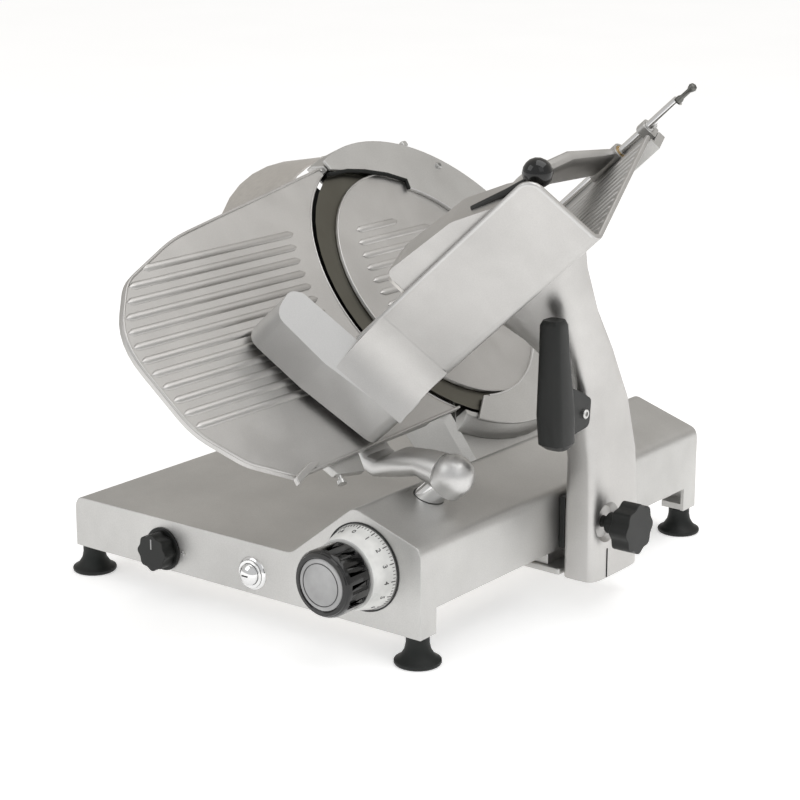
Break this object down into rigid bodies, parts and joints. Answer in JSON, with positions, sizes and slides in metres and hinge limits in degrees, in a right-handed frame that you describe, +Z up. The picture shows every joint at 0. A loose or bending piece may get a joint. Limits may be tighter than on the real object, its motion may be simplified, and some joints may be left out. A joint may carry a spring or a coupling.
{
  "type": "deli meat slicer",
  "caption": "Gravity-feed deli slicer: tilted round blade with ring guard and ribbed gauge plate, sliding angled trough with pusher, thickness knob, on a rubber-footed aluminium base.",
  "frame": {"origin": "middle of the bounding box, on the surface that the feet stand on", "axes": "+X from the blade's side to the carriage's side, +Y away from the operator, +Z up"},
  "size_m": [0.6147, 0.6954, 0.5499],
  "materials": {
    "cast_aluminium": "satin, cast",
    "anodised_aluminium": "satin, anodised",
    "polished_aluminium": "polished",
    "stainless_sheet": "brushed",
    "machined_steel": "machined",
    "dark_steel": "blackened",
    "blade_steel": "ground",
    "chrome": "polished",
    "bronze": "machined",
    "black_plastic": "fine grain",
    "gloss_black": "glossy",
    "black_rubber": "matt",
    "white_dial": "satin white",
    "white_cap": "glossy white",
    "motor_paint": "satin paint"
  },
  "bodies": {
    "base": {"base_housing": "cast_aluminium", "bottom_plate": "stainless_sheet", "foot_front_left": "black_rubber", "foot_front_right": "black_rubber", "foot_rear_left": "black_rubber", "foot_rear_right": "black_rubber", "switch_bezel": "black_plastic", "switch_body": "black_plastic", "button_bezel": "chrome", "power_inlet": "black_plastic", "blade_cover": "anodised_aluminium", "ring_guard": "cast_aluminium", "blade_housing": "cast_aluminium", "belt_housing": "cast_aluminium", "bearing_carrier": "cast_aluminium", "blade_bearing_front": "machined_steel", "blade_bearing_rear": "machined_steel", "drive_belt": "black_rubber", "motor": "motor_paint", "slice_deflector": "stainless_sheet", "gauge_bushing": "bronze", "slide_rod": "chrome"},
    "switch": {"switch_knob": "black_plastic"},
    "button": {"start_button": "chrome"},
    "index_knob": {"thickness_knob": "gloss_black", "index_dial": "white_dial", "knob_cap": "white_cap", "thickness_spindle": "machined_steel", "thickness_cam": "machined_steel"},
    "blade_group": {"blade": "blade_steel", "blade_shaft": "machined_steel", "blade_pulley": "cast_aluminium"},
    "motor_drive": {"motor_pulley": "machined_steel"},
    "cover_nut": {"cover_knob": "black_plastic"},
    "gauge": {"gauge_plate": "anodised_aluminium", "gauge_bracket": "cast_aluminium", "gauge_arm": "polished_aluminium", "gauge_shaft": "chrome", "cam_follower": "machined_steel", "gauge_clamp_screw": "machined_steel"},
    "carriage": {"trolley": "cast_aluminium", "trolley_bush": "bronze", "carriage_foot": "cast_aluminium", "carriage_arm": "anodised_aluminium", "gap_shield": "black_plastic", "trough": "anodised_aluminium", "thumb_guard": "polished_aluminium", "trough_rail": "cast_aluminium", "guide_rod": "chrome", "rod_tip": "dark_steel", "rod_clamp_lower": "cast_aluminium", "rod_clamp_upper": "cast_aluminium", "carriage_handle": "black_plastic"},
    "lock": {"carriage_lock_knob": "black_plastic"},
    "sleeve": {"pusher_sleeve": "bronze"},
    "pusher": {"pusher": "anodised_aluminium", "pusher_plate": "stainless_sheet", "pusher_rod": "black_plastic", "pusher_ball_knob": "gloss_black"}
  },
  "joints": [
    {"name": "switch_turn", "type": "hinge", "parent": "base", "child": "switch", "pos_m": [-0.1654, -0.2083, 0.0528], "axis": [0, 1, 0], "range_deg": [0, 90]},
    {"name": "button_press", "type": "slide", "parent": "base", "child": "button", "axis": [0, 1, 0], "range_m": [0, 0.003], "stiffness_N_per_m": 300},
    {"name": "gauge_slide", "type": "slide", "parent": "base", "child": "gauge", "axis": [-0.7431, 0, -0.6691], "range_m": [0, 0.014]},
    {"name": "index_turn", "type": "hinge", "parent": "base", "child": "index_knob", "pos_m": [0.104, -0.2383, 0.0909], "axis": [0, 1, 0], "range_deg": [0, 321]},
    {"name": "blade_spin", "type": "hinge", "parent": "base", "child": "blade_group", "pos_m": [-0.0439, 0.1387, 0.3023], "axis": [0.7431, 0, 0.6691], "continuous": true},
    {"name": "motor_spin", "type": "hinge", "parent": "base", "child": "motor_drive", "pos_m": [0.04647, 0.1387, 0.05399], "axis": [0.7431, 0, 0.6691], "continuous": true},
    {"name": "cover_nut_turn", "type": "hinge", "parent": "base", "child": "cover_nut", "pos_m": [-0.13828, 0.1387, 0.21732], "axis": [0.7431, 0, 0.6691], "continuous": true},
    {"name": "carriage_slide", "type": "slide", "parent": "base", "child": "carriage", "axis": [0, 1, 0], "range_m": [-0.2, 0.178]},
    {"name": "lock_turn", "type": "hinge", "parent": "carriage", "child": "lock", "pos_m": [0.2436, 0.0602, 0.093], "axis": [1, 0, 0], "range_deg": [0, 180]},
    {"name": "pusher_slide", "type": "slide", "parent": "carriage", "child": "sleeve", "axis": [0.7431, 0, 0.6691], "range_m": [-0.136, 0.03]},
    {"name": "pusher_swing", "type": "hinge", "parent": "sleeve", "child": "pusher", "pos_m": [0.19162, 0.09865, 0.46068], "axis": [0.7431, 0, 0.6691], "range_deg": [-100, 0]}
  ],
  "couplings": [
    {"joint": "index_turn", "follows": "gauge_slide", "rad_per_m": 398.93},
    {"joint": "motor_spin", "follows": "blade_spin", "ratio": 4}
  ]
}
